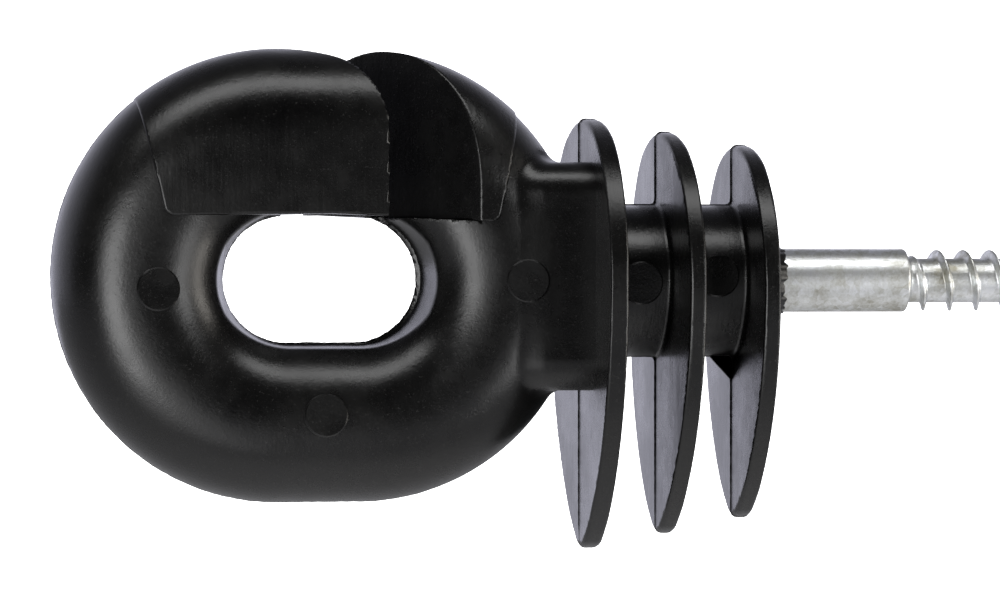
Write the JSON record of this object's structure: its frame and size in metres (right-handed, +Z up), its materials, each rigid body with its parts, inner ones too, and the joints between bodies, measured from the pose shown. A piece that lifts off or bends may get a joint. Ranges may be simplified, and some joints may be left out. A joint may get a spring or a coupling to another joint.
{
  "type": "ring insulator",
  "caption": "Fence ring insulator: an oval ring with a slanted slot holds a conductor rope, drip sheds keep the neck dry, and a wood screw fixes it to a post.",
  "frame": {"origin": "on the screw's axis, where its bare shank leaves the back face of the smallest drip shed", "axes": "+X along the screw towards its point, +Z up, away from the drip sheds' tips, and Y through the eye, square to the ring's faces"},
  "size_m": [0.1152, 0.0302, 0.0469],
  "materials": {
    "plastic": "black moulded plastic, semi-matt, slightly mottled",
    "zinc_steel": "bright zinc plating, spangled, dulled by handling"
  },
  "bodies": {
    "root": {"insulator_body": "plastic", "screw": "zinc_steel"}
  },
  "joints": []
}
